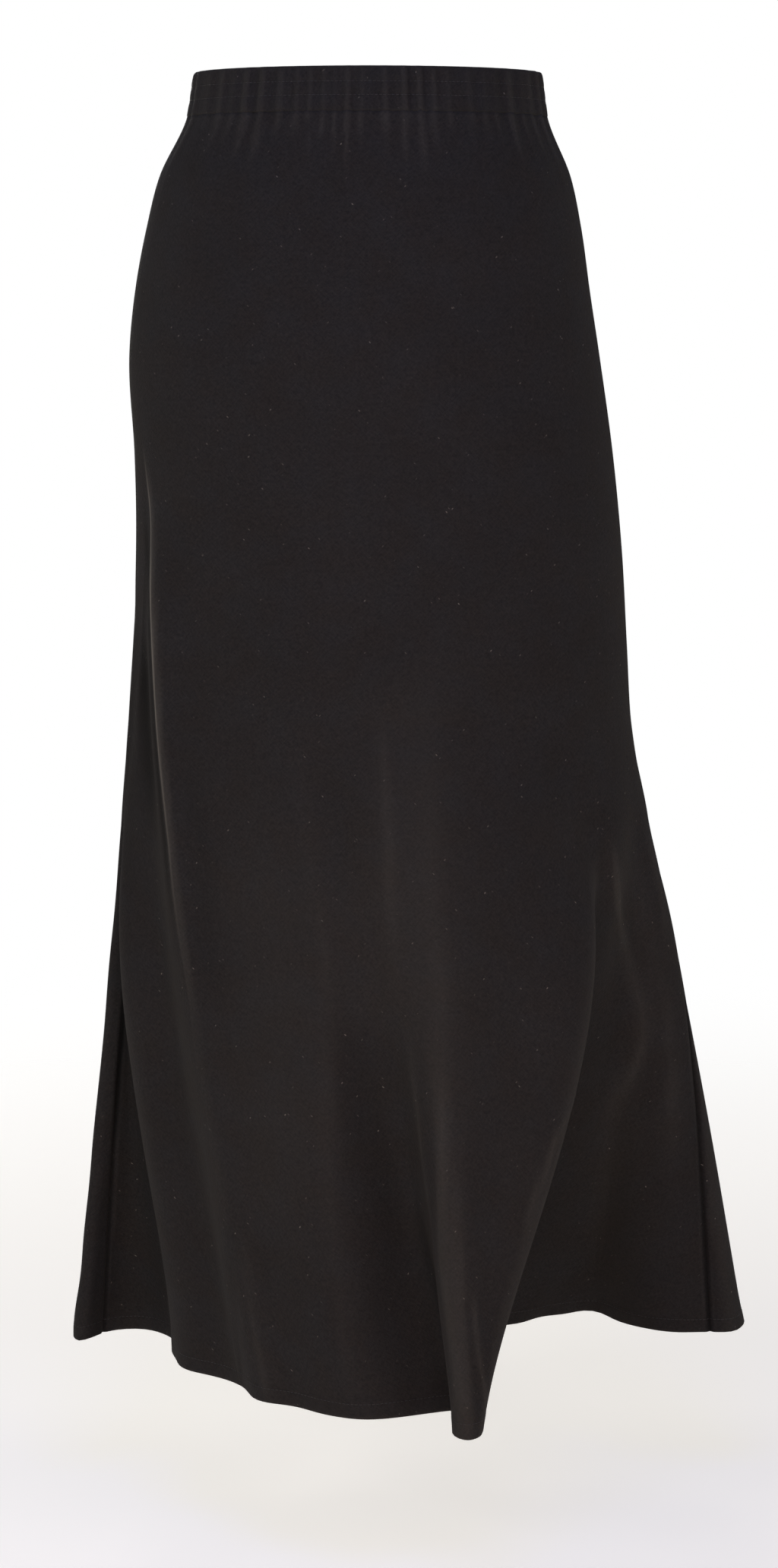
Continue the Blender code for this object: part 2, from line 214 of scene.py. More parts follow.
SHELL_OUT, SHELL_IN = 0.00045, -0.00035  # the cloth's two faces, from its middle
HEM_SWELL = 0.00025  # how far the turned hem pushes the outside out
HEM_EDGE = 0.0012  # the height over which its inner edge rises, and its lower edge is rubbed
HEM_RIM_STEPS = 5
HEM_RUB = 0.15  # how strongly the hem's edge is rubbed
BAND_RUB = 0.2  # the band's crests and top edge
BAND_TOP = 0.05  # how far down its top edge is rubbed, as a share of its height
RIDGE_HIGHLIGHT_AND_WEAR = 0.25  # painted highlight and wear on the sharpest ridges
RIDGE_CURVES = (18.0, 70.0)  # curvature, per metre, at which the painted highlight and wear start to show and are full
STITCH_LEAN = 0.05  # how far off its row a stitch may point

# Rows of faces stand closer near the waist and at the hem, and columns beside the seams.
TOP_ZONE = 0.06
TOP_PITCH = 0.7  # distance between rows in it, as a share of the row pitch
HEM_STEPS_MM = (0.7, 1.2, 1.6, 2.0, 2.0, 1.0, 0.8, 0.8, 0.9, 0.8, 0.8, 1.2, 2.2, 3.5)
SEAM_STEPS_MM = (0.4, 0.7, 1.0, 1.4, 2.0, 3.0)
EVEN_DOWN = 0.85  # the share of the way down at which the column pitch holds
EVEN_STEPS = 40  # places between two fold lines at which lengths there are measured
SHARP_MM = 2.0  # columns are drawn together at creases narrower than this
DRAW = 0.8  # by this share of their spacing
DRAW_REACH = 0.02  # and as far from the crease as this share of the panel's width
DRAW_STEPS = 1200  # places across a panel at which widths are measured

BAND_FULLNESS = 1.28  # cloth in the band to each metre of waist
BAND_EDGE_RIPPLE = 0.45  # height of the ripples at the band's edges, as a share of that between them
BAND_SQUARE = 8  # how squarely they rise from the edges: a power
BAND_SECTION = (
    # out in mm from the band's middle, and height as a share of the band: down the outside and up the inside
    (0, 1), (0.7, 0.985), (1.15, 0.94), (1.3, 0.86), (1.42, 0.75), (1.15, 0.68),
    (1.05, 0.66), (1.15, 0.64), (1.45, 0.56), (1.45, 0.46), (1.15, 0.38), (1.05, 0.36),
    (1.15, 0.34), (1.4, 0.26), (1.3, 0.14), (1.1, 0.05), (0.6, 0.01), (0, 0),
    (-0.8, 0.02), (-1.2, 0.12), (-1.3, 0.3), (-1.2, 0.5), (-1.3, 0.7), (-1.2, 0.88), (-0.7, 0.985),
)
BAND_STITCHES = (
    # name, out in mm, height as a share of the band
    ("band_stitches_upper", 1.1, 0.66),
    ("band_stitches_lower", 1.1, 0.36),
)

STITCH_RINGS = (
    # along, thickness, height, as shares of half the length, of the width, and of the width
    (-1.0, 0.45, -0.55), (-0.75, 0.85, -0.05), (-0.25, 1.0, 0.22),
    (0.25, 1.0, 0.22), (0.75, 0.85, -0.05), (1.0, 0.45, -0.55),
)
STITCH_SIDES = 6

PANELS = (
    # node, panel, first and last fold line
    ("front_panel", "front", LEFT_SEAM, RIGHT_SEAM),
    ("back_panel", "back", RIGHT_SEAM, ALL_ROUND),
)


def smooth_step(share):
    """0 to 1 with flat ends: 3 s^2 - 2 s^3."""
    share = np.clip(share, 0.0, 1.0)
    return share * share * (3.0 - 2.0 * share)


def bell(off, width):
    """1 in the middle, dying away to both sides: exp(-u^2), where u is how many widths off the middle."""
    return np.exp(-((off / width) ** 2))


def smooth_table(heights, rows):
    """Rows of values at falling heights, read at other heights through a cubic with no kinks."""
    table = np.array(rows, float)
    at = table[:, 0]
    slopes = np.gradient(table[:, 1:], at, axis=0)
    heights = np.clip(heights, at[-1], at[0])
    k = np.clip(np.searchsorted(-at, -heights, side="right") - 1, 0, len(at) - 2)
    span = (at[k + 1] - at[k])[..., None]
    t = (heights - at[k])[..., None] / span
    return cubic(t, span, table[k, 1:], table[k + 1, 1:], slopes[k], slopes[k + 1])


def cubic(t, span, low, high, slope_low, slope_high):
    """The cubic from low to high as t goes from 0 to 1, over a length span, with those slopes at its ends."""
    return (
        (2 * t**3 - 3 * t**2 + 1) * low
        + (t**3 - 2 * t**2 + t) * span * slope_low
        + (3 * t**2 - 2 * t**3) * high
        + (t**3 - t**2) * span * slope_high
    )


def on_oval(angle, height):
    """The point of the figure's oval at a height, angle degrees round from the left side past the front."""
    centre_x, half_width, front, back = np.moveaxis(smooth_table(height, SECTIONS), -1, 0)
    turn = np.radians(angle)
    depth = np.where(np.sin(turn) >= 0, front, back)
    return np.stack([centre_x - half_width * np.cos(turn), -depth * np.sin(turn)], axis=-1)


def fold_line(line, share_down):
    """Points down one fold line, at shares of the way from the panels' top to the hem: on the oval first, and
    then eased onto a line that is straight but for its bow and dip, each a cubic."""
    hem_z = -SKIRT_LENGTH + line[LIFT]
    z = PANEL_TOP + (hem_z - PANEL_TOP) * share_down
    start, hem = on_oval(line[ANGLE], np.array(line[START])), np.array([line[HEM_X], line[HEM_Y]])
    along = np.clip((line[START] - z) / (line[START] - hem_z), 0.0, 1.0)[:, None]
    third, two_thirds = 1 / 3, 2 / 3
    # Cubics that are 0 at both ends, and 1 at one third and 0 at the other, or the other way round.
    ends = along * (along - 1) / (third * two_thirds * third)
    high, low = ends * (along - two_thirds), -ends * (along - third)
    bow = line[BOW_HIGH] * high + line[BOW_LOW] * low
    dip = line[DIP_HIGH] * high + line[DIP_LOW] * low
    straight = start + (hem - start) * along + np.column_stack([bow, dip])
    leaves = smooth_step((line[START] + EASE / 2 - z) / EASE)[:, None]
    flat = on_oval(line[ANGLE], z) * (1 - leaves) + straight * leaves
    return np.column_stack([flat, z])


def cloth_at(share_down, place):
    """The middle of the cloth, rows x columns x 3. A row is a closed cubic with no kinks through the fold
    lines, its knots spaced by the square root of the distance between them. place counts fold lines round the
    skirt, for all rows alike or for each row: 2.5 is half-way between the third and the fourth."""
    lines = np.stack([fold_line(line, share_down) for line in FOLD_LINES], axis=1)
    rows, count = lines.shape[:2]
    after = np.roll(lines, -1, axis=1) - lines
    gap = np.sqrt(np.linalg.norm(after, axis=2, keepdims=True))
    before = np.roll(gap, 1, axis=1)
    k = np.arange(count)
    matrix = np.zeros((rows, count, count))
    matrix[:, k, k] = (2 / before + 2 / gap)[..., 0]
    matrix[:, k, (k + 1) % count] = 1 / gap[..., 0]
    matrix[:, k, (k - 1) % count] = 1 / before[..., 0]
    slope = np.linalg.solve(matrix, 3 * (np.roll(after, 1, axis=1) / before**2 + after / gap**2))
    k = np.floor(place).astype(int) % count
    row, end = np.arange(rows)[:, None], (k + 1) % count
    t = (place - np.floor(place))[..., None]
    return cubic(t, gap[row, k], lines[row, k], lines[row, end], slope[row, k], slope[row, end])


def unit(vectors):
    """Vectors scaled to a length of 1."""
    return vectors / np.linalg.norm(vectors, axis=-1, keepdims=True)


def lengths_along(points, axis):
    """How far each point is along its row or column, from that line's first point."""
    steps = np.linalg.norm(np.diff(points, axis=axis), axis=-1)
    return np.insert(np.cumsum(steps, axis=axis), 0, 0.0, axis=axis)


def even_places(first, last, pitch, edge_steps):
    """Places from one fold line to another: pitch apart on the cloth low down, edge_steps at both ends."""
    fine = np.linspace(first, last, EVEN_STEPS * (last - first) + 1)
    at = lengths_along(cloth_at(np.array([EVEN_DOWN]), fine), 1)[0]
    total, edge = at[-1], np.cumsum([0.0, *edge_steps])
    inner = np.linspace(edge[-1], total - edge[-1], int(round((total - 2 * edge[-1]) / pitch)) + 1)
    wanted = np.concatenate([edge[:-1], inner, total - edge[-2::-1]])
    return np.interp(wanted, at, fine)


def crease_centre(places, down):
    """Where a crease runs at each depth, as a share of the panel's width: a cubic through its places."""
    return smooth_table(-down, [(-depth, across) for across, depth in places])[..., 0]


def drawn_to_creases(panel, places, downs, length):
    """Places for each row of a panel, drawn together where a sharp crease runs, so that its faces are fine.
    Each moves towards the crease by a share of its distance: DRAW times a bell."""
    fine = np.linspace(places[0], places[-1], DRAW_STEPS)
    at = lengths_along(cloth_at(downs / length, fine), 1)
    share = at / at[:, -1:]
    drawn = np.stack([np.interp(places, fine, row) for row in share])
    for width_mm, *_, crease in CREASES[panel]:
        if width_mm < SHARP_MM:
            off = drawn - crease_centre(crease, downs - PANEL_TOP)[:, None]
            drawn -= DRAW * off * bell(off, DRAW_REACH)
    return np.stack([np.interp(wanted, row, fine) for wanted, row in zip(drawn, share)])


def gather_wave(angle):
    """The elastic's uneven upright ripples round the waist, mostly from -1 to 1: sine waves together."""
    draw = np.random.default_rng(GATHER_SEED)
    wave = np.zeros_like(angle)
    for count in GATHER_COUNTS:
        wave = wave + np.sin(np.radians(count * angle) + draw.uniform(0, 2 * math.pi))
    return wave / math.sqrt(len(GATHER_COUNTS))


def angle_round(points):
    """Degrees round the waist of each point, from the left side past the front."""
    return np.degrees(np.arctan2(-points[..., 1], -points[..., 0])) % 360.0


def drape_noise(across, down, seed):
    """Slow unevenness of hanging cloth, from -1 to 1: the mean of sine waves, which lean and sway."""
    draw = np.random.default_rng(seed)
    total = np.zeros_like(across)
    for wave in DRAPE_WAVES_MM:
        lean, phase = draw.uniform(-DRAPE_LEAN, DRAPE_LEAN), draw.uniform(0, 2 * math.pi)
        sway = phase + DRAPE_SWAY * np.sin(DRAPE_SWAY_PACE * down + phase)
        total += np.sin(2 * math.pi * (across + lean * down) / (wave * MM) + sway)
    return total / len(DRAPE_WAVES_MM)


def creases_on(panel, share_across, down, width):
    """Height of a panel's soft creases, and their painted highlight and shade: each is a bell across its curve,
    which grows and dies away at its two ends."""
    height, shaded_lit_and_worn = np.zeros_like(share_across), np.zeros_like(share_across)
    for width_mm, height_mm, rub, starts_over, ends_over, places in CREASES[panel]:
        off = (share_across - crease_centre(places, down)) * width
        begun = smooth_step((down - places[0][1]) / starts_over)
        crease = begun * smooth_step((places[-1][1] - down) / ends_over) * bell(off, width_mm * MM)
        height += height_mm * MM * crease
        shaded_lit_and_worn += rub * crease
    return height, shaded_lit_and_worn


def panel_cloth(panel, first, last, cut):
    """One panel's cloth as grids, rows x columns: its middle with all its relief, which way is out, where
    each point lies on the flat cloth, and its painted highlight and shade, with painted shade in the seams. The
    relief, out from the folds that the solids have, is the sum of creases, slow waves that grow towards the
    hem, the elastic's and the hem's ripples, which die away as exp(-u), and grooves at the seams and the
    stitches, each a bell across."""
    length = SKIRT_LENGTH + PANEL_TOP
    near_hem = np.cumsum([0.0, *HEM_STEPS_MM]) * MM
    top = np.arange(-TUCK, TOP_ZONE, cut.row_pitch * TOP_PITCH)
    middle_rows = np.linspace(TOP_ZONE, length - near_hem[-1], int((length - TOP_ZONE) / cut.row_pitch))
    downs = np.concatenate([top, middle_rows, (length - near_hem[:-1])[::-1]])
    places = even_places(first, last, cut.column_pitch, np.array(SEAM_STEPS_MM) * MM)
    places = drawn_to_creases(panel, places, downs, length)
    before, after = 2 * places[:, :1] - places[:, 1:2], 2 * places[:, -1:] - places[:, -2:-1]
    cloth = cloth_at(downs / length, np.concatenate([before, places, after], axis=1))
    down_way = unit(np.gradient(cloth, axis=0))
    out = unit(np.cross(down_way, np.gradient(cloth, axis=1)))[:, 1:-1]
    middle, down_way = cloth[:, 1:-1], down_way[:, 1:-1]
    across = lengths_along(middle, 1)
    width = across[:, -1:]
    to_seam = np.minimum(across, width - across)
    down = np.broadcast_to((downs - PANEL_TOP)[:, None], across.shape)
    to_hem = np.broadcast_to((length - downs)[:, None], across.shape)
    inland = smooth_step(to_seam / SEAM_CALM)
    low = DRAPE_HIGH + (1 - DRAPE_HIGH) * smooth_step((down - DRAPE_FROM) / DRAPE_OVER)
    sway = HEM_RIPPLE_SWAY * np.sin(HEM_RIPPLE_SWAY_PACE * across)
    ripple = np.sin(2 * math.pi * across / HEM_RIPPLE + sway)
    creases, shaded_lit_and_worn = creases_on(panel, across / width, down, width)
    relief = (
        creases
        + drape_noise(across, down, DRAPE_SEEDS[panel]) * low * cut.unevenness
        + ripple * np.exp(-to_hem / HEM_RIPPLE_REACH) * HEM_RIPPLE_HEIGHT
    ) * inland
    gathered = np.minimum(np.exp(-(down + BAND_BOTTOM) / GATHER_REACH), 1.0)
    relief += gather_wave(angle_round(middle)) * gathered * cut.gather_height
    relief -= SEAM_DEPTH * bell(to_seam, SEAM_HALF_WIDTH)
    relief -= STITCH_SINK * bell(to_hem - cut.hem_depth + HEM_STITCH_IN, STITCH_ROW)
    # Painted shade in the seams' grooves, stronger low down where the drape's waves grow.
    black = SEAM_PAINTED_SHADE * (SEAM_PAINTED_SHADE_HIGH + (1 - SEAM_PAINTED_SHADE_HIGH) * low)
    return SimpleNamespace(
        middle=middle + out * relief[..., None],
        out=out,
        down_way=down_way,
        across=across,
        down=down,
        to_hem=to_hem,
        shaded_lit_and_worn=shaded_lit_and_worn + black * bell(to_seam, SEAM_PAINTED_SHADE_WIDTH),
    )


# --- Meshes ---


def grid_quads(rows, columns, closed_rows=False, closed_columns=False):
    """Quads of a grid of points, facing you where its rows run down and its columns run to the right."""
    index = np.arange(rows * columns).reshape(rows, columns)
    if closed_rows:
        index = np.vstack([index, index[:1]])
    if closed_columns:
        index = np.column_stack([index, index[:, :1]])
    quads = np.stack([index[:-1, :-1], index[1:, :-1], index[1:, 1:], index[:-1, 1:]], axis=-1)
    return quads.reshape(-1, 4)


def make_piece(name, points, faces, material, uv=None, rub=None):
    """A smooth mesh piece that rides on the skirt. uv is where each point lies on the flat cloth, in metres,
    and the last argument is how far wear and painted highlights pale each point, or below 0 how far painted
    shade darkens it."""
    mesh = bpy.data.meshes.new(name)
    mesh.from_pydata(points.reshape(-1, 3).tolist(), [], faces)
    mesh.shade_smooth()
    mesh.materials.append(material)
    if uv is not None:
        corners = np.empty(len(mesh.loops), np.int32)
        mesh.loops.foreach_get("vertex_index", corners)
        at_corners = uv.reshape(-1, 2)[corners].astype(np.float32)
        mesh.uv_layers.new(name="cut").uv.foreach_set("vector", at_corners.ravel())
    if rub is not None:
        # Wear, painted highlights and painted shade, in one attribute that the linen reads.
        painted_light_and_wear = mesh.attributes.new("rub", "FLOAT", "POINT")
        painted_light_and_wear.data.foreach_set("value", rub.astype(np.float32).ravel())
    piece = bpy.data.objects.new(name, mesh)
    bpy.context.scene.collection.objects.link(piece)
    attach(piece, "root")
    return piece


def ridges(grid):
    """How sharp a ridge each point of a panel is on, from 0 to 1. The curvature across it is 8 r / c^2: the
    point stands out by r from the middle of the line between its neighbours, which is c long."""
    wide = np.pad(grid.middle, ((0, 0), (1, 1), (0, 0)), mode="reflect", reflect_type="odd")
    left, right = wide[:, :-2], wide[:, 2:]
    rise = ((grid.middle - (left + right) / 2) * grid.out).sum(axis=-1)
    curvature = 8 * rise / ((right - left) ** 2).sum(axis=-1)
    return smooth_step((curvature - RIDGE_CURVES[0]) / (RIDGE_CURVES[1] - RIDGE_CURVES[0]))


def panel_shell(name, grid, cut, material):
    """A panel as one closed shell. Its section goes down the outside, round the hem's rolled edge and up the
    inside, which stands further in where the hem is turned up twice."""
    turned = smooth_step((cut.hem_depth + HEM_EDGE / 2 - grid.to_hem) / HEM_EDGE)[..., None]
    outside = grid.middle + grid.out * (SHELL_OUT + HEM_SWELL * turned)
    inside = grid.middle + grid.out * (SHELL_IN - cut.hem_layers * turned)
    centre = (outside[-1] + inside[-1]) / 2
    radius = np.linalg.norm(outside[-1] - inside[-1], axis=-1, keepdims=True) / 2
    turn = (np.arange(1, HEM_RIM_STEPS) / HEM_RIM_STEPS * math.pi)[:, None, None]
    rim = centre + radius * (grid.out[-1] * np.cos(turn) + grid.down_way[-1] * np.sin(turn))
    points = np.concatenate([outside, rim, inside[::-1]])
    rows, columns = points.shape[:2]
    faces = grid_quads(rows, columns, closed_rows=True).tolist()
    deep = len(outside)
    for column, flip in ((0, 1), (columns - 1, -1)):
        outer = np.arange(deep) * columns + column
        inner = (rows - 1 - np.arange(deep)) * columns + column
        ladder = np.stack([outer[:-1], inner[:-1], inner[1:], outer[1:]], axis=-1)
        roll = np.arange(deep - 1, rows - deep + 1) * columns + column
        faces += ladder[:, ::flip].tolist() + [roll[::-flip].tolist()]
    flat = np.stack([grid.across - grid.across[:, -1:] / 2, -grid.down], axis=-1)
    uv = np.concatenate([flat, np.repeat(flat[-1:], len(rim), axis=0), flat[::-1]])
    # Painted highlights and wear on the sharpest ridges, wear at the hem's edge, and the creases' painted
    # highlights and shade with the seams' painted shade.
    shaded_lit_and_worn = np.maximum(RIDGE_HIGHLIGHT_AND_WEAR * ridges(grid), HEM_RUB * np.exp(-grid.to_hem / HEM_EDGE)) + grid.shaded_lit_and_worn
    rub = np.concatenate([shaded_lit_and_worn, np.full((len(rim), columns), HEM_RUB), 0 * shaded_lit_and_worn])
    return make_piece(name, points, faces, material, uv, rub)


def stitch_run(name, path, out, cut, material):
    """A row of stitches along a path on the cloth, out being away from it: short threads that dive in at both
    ends. Each is a tube round a shallow arch: round rings across the path, thinner and deeper at the ends."""
    at = lengths_along(path, 0)
    count = int(at[-1] / (cut.stitch_length + cut.stitch_gap))
    middle = (np.arange(count) + 0.5) * at[-1] / count
    half = cut.stitch_length / 2
    reads = ((path, 0.0), (out, 0.0), (path, -half), (path, half))
    centre, away, behind, ahead = (
        np.stack([np.interp(middle + step, at, values[:, axis]) for axis in range(3)], axis=-1)
        for values, step in reads
    )
    along = unit(ahead - behind)
    side = unit(np.cross(away, along))
    normal = np.cross(along, side)
    lean = np.random.default_rng(len(name)).uniform(-STITCH_LEAN, STITCH_LEAN, (count, 1))
    along, side = unit(along + side * lean), unit(side - along * lean)
    rings = np.array(STITCH_RINGS)
    turn = np.arange(STITCH_SIDES) / STITCH_SIDES * 2 * math.pi
    x = np.repeat(rings[:, :1], STITCH_SIDES, axis=1) * half
    y = rings[:, 1:2] * np.cos(turn) * cut.thread_width / 2
    z = (rings[:, 1:2] * np.sin(turn) / 2 + rings[:, 2:3]) * cut.thread_width
    ways = ((along, x), (side, y), (normal, z))
    points = sum(way[:, None, None] * part[None, ..., None] for way, part in ways) + centre[:, None, None]
    size = len(rings) * STITCH_SIDES
    first = np.arange(count)[:, None, None] * size
    quads = grid_quads(len(rings), STITCH_SIDES, closed_columns=True)
    ends = np.array([np.arange(STITCH_SIDES)[::-1], np.arange(STITCH_SIDES) + size - STITCH_SIDES])
    faces = (first + quads).reshape(-1, 4).tolist() + (first + ends).reshape(-1, STITCH_SIDES).tolist()
    return make_piece(name, points, faces, material)


# --- Finishes ---


def linear(hex_colour):
    """An sRGB colour such as "#2b2a2c" as linear red, green, blue and alpha."""
    parts = np.array([int(hex_colour[k : k + 2], 16) for k in (1, 3, 5)]) / 255
    made = np.where(parts <= 0.04045, parts / 12.92, ((parts + 0.055) / 1.055) ** 2.4)
    return (*made.tolist(), 1.0)


def set_inputs(node, **sockets):
    """Gives a node's inputs, by name or as _2 by number, each a value or the output that feeds it."""
    for key, value in sockets.items():
        socket = node.inputs[int(key[1:]) if key[0] == "_" else key.replace("_", " ")]
        if isinstance(value, bpy.types.NodeSocket):
            node.id_data.links.new(value, socket)
        else:
            socket.default_value = value


def add_node(tree, kind, settings=None, out=0, **sockets):
    """Adds a shader node of that kind to a tree, with its settings and inputs, and gives back one output."""
    node = tree.nodes.new("ShaderNode" + kind)
    for key, value in (settings or {}).items():
        setattr(node, key, value)
    set_inputs(node, **sockets)
    return node.outputs[out] if node.outputs else None


def new_material(name):
    """A new material, its Principled shader, and the function that adds nodes to its tree."""
    material = bpy.data.materials.new(name)
    material.use_nodes = True
    tree = material.node_tree
    return material, tree.nodes["Principled BSDF"], partial(add_node, tree)


def per_mm(mm):
    """The scale that makes a pattern's unit that many millimetres, on coordinates in metres."""
    return 1000.0 / mm


LINEN = "linen_plain_weave_piece_dyed_black"
THREAD = "spun_polyester_thread_dyed_black"
BIAS = math.radians(45.0)
WAVE_UNIT = 0.314  # the scale at which a wave texture's bands are one unit apart
MULTIPLY = {"operation": "MULTIPLY"}
MULTIPLY_ADD = {"operation": "MULTIPLY_ADD"}
ADD = {"operation": "ADD"}
CLAMPED_ADD = {"operation": "ADD", "use_clamp": True}
COLOUR_MIX = {"data_type": "RGBA"}


def linen_yarns(add, place, turn):
    """The yarns that run one way through the flat cloth: slubs, threads and loose fibre ends."""
    lie = add("Mapping", Vector=place, Rotation=(0.0, 0.0, turn), Location=(turn, 0.0, 0.0))
    # Slubs: 7 mm long and 1.2 mm thick, over twice a real yarn's 0.5 mm, so that they show.
    drawn_out = add("Mapping", Vector=lie, Scale=(per_mm(7), per_mm(1.2), 1.0))
    slubs = add("TexNoise", Vector=drawn_out, Scale=1.0, Detail=2.0)
    # Threads: real ones are 0.5 mm apart, drawn 1.1 mm apart so that they show.
    ranks = add("Mapping", Vector=lie, Scale=(1.0, per_mm(1.1), 1.0))
    bands = {"wave_type": "BANDS", "bands_direction": "Y"}
    threads = add("TexWave", bands, "Fac", Vector=ranks, Scale=WAVE_UNIT)
    # Pale fibre ends, 2 mm long and up to 0.8 mm across, wider than real ones so that they show. Each has a
    # brightness drawn by lot, and for most it is low.
    cells = add("Mapping", Vector=lie, Scale=(per_mm(14), per_mm(5), 1.0))
    apart = add("TexVoronoi", Vector=cells, Scale=1.0)
    fleck = add("MapRange", Value=apart, From_Min=0.08, From_Max=0.03)
    lot = add("SeparateColor", Color=apart.node.outputs["Color"])
    rare = add("Math", {"operation": "POWER"}, _0=lot, _1=4.0)
    return slubs, threads, add("Math", MULTIPLY, _0=fleck, _1=rare)


def black_linen(finish):
    """Piece-dyed black linen in a plain weave, cut on the bias so that its threads run at 45 degrees. Flax
    yarn is uneven: thick slubs and thin places give streaks both ways, the dye takes in soft clouds, and
    short pale fibres work loose and catch the light."""
    material, shader, add = new_material(LINEN)
    place = add("TexCoord", out="UV")
    slubs, threads, flecks = zip(*(linen_yarns(add, place, turn) for turn in (BIAS, -BIAS)))
    both = add("Math", ADD, _0=slubs[0], _1=slubs[1])
    # Over them the nap: fine fibres that lie all ways, in tufts 2 mm across and less.
    nap = add("TexNoise", Vector=place, Scale=per_mm(2.2), Detail=3.0, Roughness=0.7)
    grain = add("Math", MULTIPLY_ADD, _0=nap, _1=2.0, _2=both)
    tone = add("MapRange", Value=grain, From_Min=1.6, From_Max=2.4)
    deep, pale = linear(finish.deep_colour), linear(finish.cloth_colour)
    yarn = add("Mix", COLOUR_MIX, 2, Factor=tone, _6=deep, _7=pale)
    # Clouds where the dye has taken unevenly, from 60 mm across down to 4 mm.
    cloud = add("TexNoise", Vector=place, Scale=per_mm(60), Detail=4.0, Roughness=0.7)
    shade = add("MapRange", Value=cloud, From_Min=0.3, From_Max=0.7, To_Min=0.90, To_Max=1.10)
    # Painted shade: seam grooves and the hollows of folds are darkened where the attribute is below 0.
    rub = add("Attribute", {"attribute_name": "rub"}, "Fac")
    painted_shade = add("Math", CLAMPED_ADD, _0=rub, _1=1.0)
    depth = add("Math", MULTIPLY, _0=shade, _1=painted_shade)
    clouded_and_shaded = add("VectorMath", {"operation": "SCALE"}, _0=yarn, Scale=depth)
    # Black dyes drift a little to brown and to blue, in clouds 30 mm across.
    drift = add("TexNoise", Vector=place, Scale=per_mm(30), Detail=3.0)
    cast = add("MapRange", Value=drift, From_Min=0.35, From_Max=0.65)
    brown, blue = (1.03, 1.0, 0.96, 1.0), (0.96, 1.0, 1.03, 1.0)
    hue = add("Mix", COLOUR_MIX, 2, Factor=cast, _6=brown, _7=blue)
    dyed = add("VectorMath", MULTIPLY, _0=clouded_and_shaded, _1=hue)
    # Painted highlights on ridges and creases, and the hem's edge and the band's crests greyed by rubbing.
    painted_light_and_wear = add("Math", MULTIPLY, _0=rub, _1=finish.wear_and_highlight)
    shaded_lit_and_worn = add("Mix", COLOUR_MIX, 2, Factor=painted_light_and_wear, _6=dyed, _7=linear(finish.worn_and_highlight_colour))
    ends = add("Math", CLAMPED_ADD, _0=flecks[0], _1=flecks[1])
    colour = add("Mix", COLOUR_MIX, 2, Factor=ends, _6=shaded_lit_and_worn, _7=linear(finish.fibre_colour))
    # The weave's relief, and under it the crumple of wear, 25 mm across.
    weave = add("Math", MULTIPLY, _0=threads[0], _1=threads[1])
    relief = add("Math", MULTIPLY_ADD, _0=grain, _1=3.5, _2=weave)
    fine = add("Bump", Strength=0.5, Distance=0.00012, Height=relief)
    crumple = add("TexNoise", Vector=place, Scale=per_mm(25), Detail=2.0)
    bump = add("Bump", Strength=0.4, Distance=0.001, Height=crumple, Normal=fine)
    set_inputs(shader, Base_Color=colour, Normal=bump, Roughness=finish.roughness, Specular_IOR_Level=0.12)
    # The nap's soft glow at grazing angles.
    set_inputs(shader, Sheen_Weight=finish.fuzz, Sheen_Roughness=0.5, Sheen_Tint=linear("#d8d2cc"))
    return material


def black_thread(finish):
    """Spun polyester sewing thread, dyed black: tightly twisted, with a soft shine and slanting ridges."""
    material, shader, add = new_material(THREAD)
    place = add("TexCoord", out="Object")
    # Two plies, twisted 0.4 mm apart and drawn about 0.9 mm apart so that they show.
    plies = {"wave_type": "BANDS", "bands_direction": "DIAGONAL"}
    ply = add("TexWave", plies, "Fac", Vector=place, Scale=per_mm(0.8) * WAVE_UNIT)
    deep, pale = linear(finish.deep_colour), linear(finish.thread_colour)
    colour = add("Mix", COLOUR_MIX, 2, Factor=ply, _6=deep, _7=pale)
    bump = add("Bump", Strength=0.4, Distance=0.0001, Height=ply)
    set_inputs(shader, Base_Color=colour, Normal=bump, Roughness=0.5)
    return material


def white_paper(stage):
    """Matt white studio paper: even, with no gloss, and lit from behind so that it shows near white, though
    the skirt isn't lit by it. It fades out beyond the skirt's surroundings."""
    material, shader, add = new_material("studio_paper_matt_white")
    place = add("TexCoord", out="Object")
    flat = add("VectorMath", MULTIPLY, _0=place, _1=(1.0, 1.0, 0.0))
    far = add("VectorMath", {"operation": "LENGTH"}, "Value", _0=flat)
    # It is whole out to a quarter of its radius, and gone just before its edge.
    starts, ends = 0.25 * stage.floor_radius, 0.95 * stage.floor_radius
    ease = {"interpolation_type": "SMOOTHSTEP"}
    shown = add("MapRange", ease, Value=far, From_Min=starts, From_Max=ends, To_Min=1.0, To_Max=0.0)
    grain = add("TexNoise", Vector=place, Scale=per_mm(3))
    bump = add("Bump", Strength=0.1, Distance=0.0002, Height=grain)
    glow = add("Math", MULTIPLY, _0=add("LightPath", out="Is Camera Ray"), _1=stage.floor_glow)
    white = linear(stage.floor_colour)
    set_inputs(shader, Base_Color=white, Normal=bump, Roughness=0.9, Specular_IOR_Level=0.1, Alpha=shown)
    set_inputs(shader, Emission_Color=white, Emission_Strength=glow)
    return material


def shared(name, make, finish):
    """A material that several pieces share, made when it is first asked for."""
    return bpy.data.materials.get(name) or make(finish)


# --- What a user may change ---

LengthProperty = partial(FloatProperty, unit="LENGTH")  # in metres


